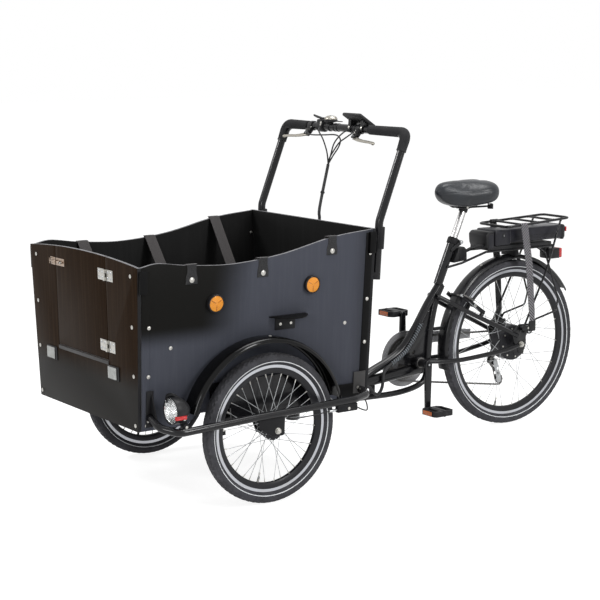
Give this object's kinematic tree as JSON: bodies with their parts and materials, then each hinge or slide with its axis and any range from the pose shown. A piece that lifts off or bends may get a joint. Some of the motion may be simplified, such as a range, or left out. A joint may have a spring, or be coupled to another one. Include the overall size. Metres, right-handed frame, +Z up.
{
  "type": "front-loading electric cargo tricycle",
  "caption": "Black electric cargo tricycle with a wooden box between its front wheels, a handlebar hoop, a rear rack and a battery.",
  "frame": {"origin": "on the ground, in the middle of the overall length and width", "axes": "+Z up, +X towards the rider's left, -Y towards the front of the tricycle, +Y towards the rear wheel"},
  "size_m": [0.9224, 2.2156, 1.235],
  "materials": {
    "alloy": "satin",
    "battery_case": "satin",
    "black_frame_paint": "gloss",
    "black_plastic": "matte",
    "bright_steel": "satin",
    "chain_steel": "satin",
    "clear_grey_plastic": "satin",
    "door_film": "satin",
    "gloss_fender": "gloss",
    "grey_webbing": "matte",
    "panel_film": "satin",
    "plywood_floor": "matte",
    "red_lens": "gloss",
    "rim_metal": "satin",
    "saddle_vinyl": "satin",
    "tyre_rubber": "matte"
  },
  "bodies": {
    "rear_frame": {"main_frame": "black_frame_paint", "rear_triangle_left": "black_frame_paint", "rear_triangle_right": "black_frame_paint", "rear_rack": "black_frame_paint", "battery_dock": "black_plastic", "rear_light": "red_lens", "rear_mudguard": "gloss_fender", "chain_guard": "clear_grey_plastic", "chain": "chain_steel", "derailleur_body": "black_plastic", "controller_box": "black_plastic", "rear_axle": "bright_steel", "carrier_strap_left": "grey_webbing", "carrier_strap_right": "grey_webbing", "frame_cables": "black_plastic"},
    "front_module": {"front_frame": "black_frame_paint", "front_loop_left": "black_frame_paint", "front_loop_right": "black_frame_paint", "box_floor": "plywood_floor", "side_panel_left": "panel_film", "side_panel_right": "panel_film", "front_panel": "door_film", "rear_panel": "panel_film", "fender_left": "gloss_fender", "fender_right": "gloss_fender", "headlight": "black_plastic", "handlebar": "black_frame_paint", "display": "black_plastic", "control_cables": "black_plastic", "bench_left": "plywood_floor", "bench_right": "plywood_floor", "bench_straps_left": "grey_webbing", "bench_straps_right": "grey_webbing"},
    "front_wheel_left": {"front_tyre_left": "tyre_rubber", "front_wheel_left": "rim_metal"},
    "front_wheel_right": {"front_tyre_right": "tyre_rubber", "front_wheel_right": "rim_metal"},
    "door": {"door": "door_film"},
    "door_latch": {"door_latch": "bright_steel"},
    "brake_lever_left": {"brake_lever_left": "alloy"},
    "brake_lever_right": {"brake_lever_right": "alloy"},
    "shift_lever": {"shift_lever": "black_plastic"},
    "bell_lever": {"bell_lever": "black_plastic"},
    "rear_wheel": {"rear_tyre": "tyre_rubber", "rear_wheel": "rim_metal"},
    "cassette": {"cassette": "chain_steel"},
    "crank": {"crank_right": "black_frame_paint", "crank_left": "black_frame_paint"},
    "pedal_left": {"pedal_left": "black_plastic"},
    "pedal_right": {"pedal_right": "black_plastic"},
    "derailleur_cage": {"derailleur_cage": "alloy"},
    "guide_pulley": {"guide_pulley": "black_plastic"},
    "tension_pulley": {"tension_pulley": "black_plastic"},
    "rear_brake_left": {"rear_brake_arm_left": "black_plastic"},
    "rear_brake_right": {"rear_brake_arm_right": "black_plastic"},
    "seat": {"seat_post": "alloy", "saddle": "saddle_vinyl", "saddle_frame": "black_plastic"},
    "seat_clamp_lever": {"seat_clamp_lever": "alloy"},
    "battery": {"battery": "battery_case"}
  },
  "joints": [
    {"name": "steering", "type": "hinge", "parent": "rear_frame", "child": "front_module", "pos_m": [0, -0.56525, 0.2884], "axis": [0, 0, 1], "range_deg": [-35, 35]},
    {"name": "front_wheel_left_spin", "type": "hinge", "parent": "front_module", "child": "front_wheel_left", "pos_m": [0.397, -0.62525, 0.25], "axis": [1, 0, 0], "continuous": true},
    {"name": "front_wheel_right_spin", "type": "hinge", "parent": "front_module", "child": "front_wheel_right", "pos_m": [-0.397, -0.62525, 0.25], "axis": [1, 0, 0], "continuous": true},
    {"name": "rear_wheel_spin", "type": "hinge", "parent": "rear_frame", "child": "rear_wheel", "pos_m": [0, 0.78175, 0.3265], "axis": [1, 0, 0], "continuous": true},
    {"name": "crank_spin", "type": "hinge", "parent": "rear_frame", "child": "crank", "pos_m": [0, 0.30975, 0.3], "axis": [1, 0, 0], "continuous": true},
    {"name": "cassette_spin", "type": "hinge", "parent": "rear_frame", "child": "cassette", "pos_m": [0, 0.78175, 0.3265], "axis": [1, 0, 0], "continuous": true},
    {"name": "pedal_left_spin", "type": "hinge", "parent": "crank", "child": "pedal_left", "pos_m": [0.078, 0.30975, 0.13], "axis": [1, 0, 0], "continuous": true},
    {"name": "pedal_right_spin", "type": "hinge", "parent": "crank", "child": "pedal_right", "pos_m": [-0.078, 0.30975, 0.47], "axis": [1, 0, 0], "continuous": true},
    {"name": "derailleur_swing", "type": "hinge", "parent": "rear_frame", "child": "derailleur_cage", "pos_m": [0, 0.75975, 0.2385], "axis": [1, 0, 0], "range_deg": [-12, 24], "stiffness_Nm_per_rad": 0.6, "deforming": ["chain"]},
    {"name": "guide_pulley_spin", "type": "hinge", "parent": "derailleur_cage", "child": "guide_pulley", "pos_m": [0, 0.75975, 0.2385], "axis": [1, 0, 0], "continuous": true},
    {"name": "tension_pulley_spin", "type": "hinge", "parent": "derailleur_cage", "child": "tension_pulley", "pos_m": [0, 0.78175, 0.1635], "axis": [1, 0, 0], "continuous": true},
    {"name": "brake_lever_left_pull", "type": "hinge", "parent": "front_module", "child": "brake_lever_left", "pos_m": [0.1, -0.05847, 1.16472], "axis": [0, -0.7071, 0.7071], "range_deg": [0, 14], "stiffness_Nm_per_rad": 1.2, "springref_deg": -20.05},
    {"name": "brake_lever_right_pull", "type": "hinge", "parent": "front_module", "child": "brake_lever_right", "pos_m": [-0.19, -0.05847, 1.16472], "axis": [0, 0.7071, -0.7071], "range_deg": [0, 14], "stiffness_Nm_per_rad": 1.2, "springref_deg": -20.05},
    {"name": "rear_brake_left_close", "type": "hinge", "parent": "rear_frame", "child": "rear_brake_left", "pos_m": [0.047, 0.60547, 0.46702], "axis": [0, -0.5736, -0.8192], "range_deg": [0, 1.9]},
    {"name": "rear_brake_right_close", "type": "hinge", "parent": "rear_frame", "child": "rear_brake_right", "pos_m": [-0.047, 0.60547, 0.46702], "axis": [0, 0.5736, 0.8192], "range_deg": [0, 1.9]},
    {"name": "shift_lever_turn", "type": "hinge", "parent": "front_module", "child": "shift_lever", "pos_m": [-0.131, -0.03019, 1.219], "axis": [0, 0, 1], "range_deg": [-20, 40]},
    {"name": "bell_lever_turn", "type": "hinge", "parent": "front_module", "child": "bell_lever", "pos_m": [-0.08, -0.00119, 1.214], "axis": [0, 0, 1], "range_deg": [0, 35], "stiffness_Nm_per_rad": 0.03, "springref_deg": -11.46},
    {"name": "door_swing", "type": "hinge", "parent": "front_module", "child": "door", "pos_m": [0.165, -1.08925, 0.287], "axis": [0, -0.0228, 0.9997], "range_deg": [0, 110]},
    {"name": "door_latch_slide", "type": "slide", "parent": "door", "child": "door_latch", "axis": [1, 0, 0], "range_m": [0, 0.03]},
    {"name": "seat_height", "type": "slide", "parent": "rear_frame", "child": "seat", "axis": [0, 0.4003, 0.9164], "range_m": [-0.045, 0.09]},
    {"name": "seat_clamp_turn", "type": "hinge", "parent": "rear_frame", "child": "seat_clamp_lever", "pos_m": [0.015, 0.51124, 0.74325], "axis": [1, 0, 0], "range_deg": [-90, 0]},
    {"name": "battery_slide", "type": "slide", "parent": "rear_frame", "child": "battery", "axis": [0, 1, 0], "range_m": [0, 0.36]}
  ],
  "couplings": [
    {"joint": "cassette_spin", "follows": "crank_spin", "ratio": 2.3583},
    {"joint": "guide_pulley_spin", "follows": "crank_spin", "ratio": -4.245},
    {"joint": "tension_pulley_spin", "follows": "crank_spin", "ratio": 4.245},
    {"joint": "rear_brake_left_close", "follows": "brake_lever_right_pull", "ratio": 0.135},
    {"joint": "rear_brake_right_close", "follows": "brake_lever_right_pull", "ratio": 0.135}
  ]
}
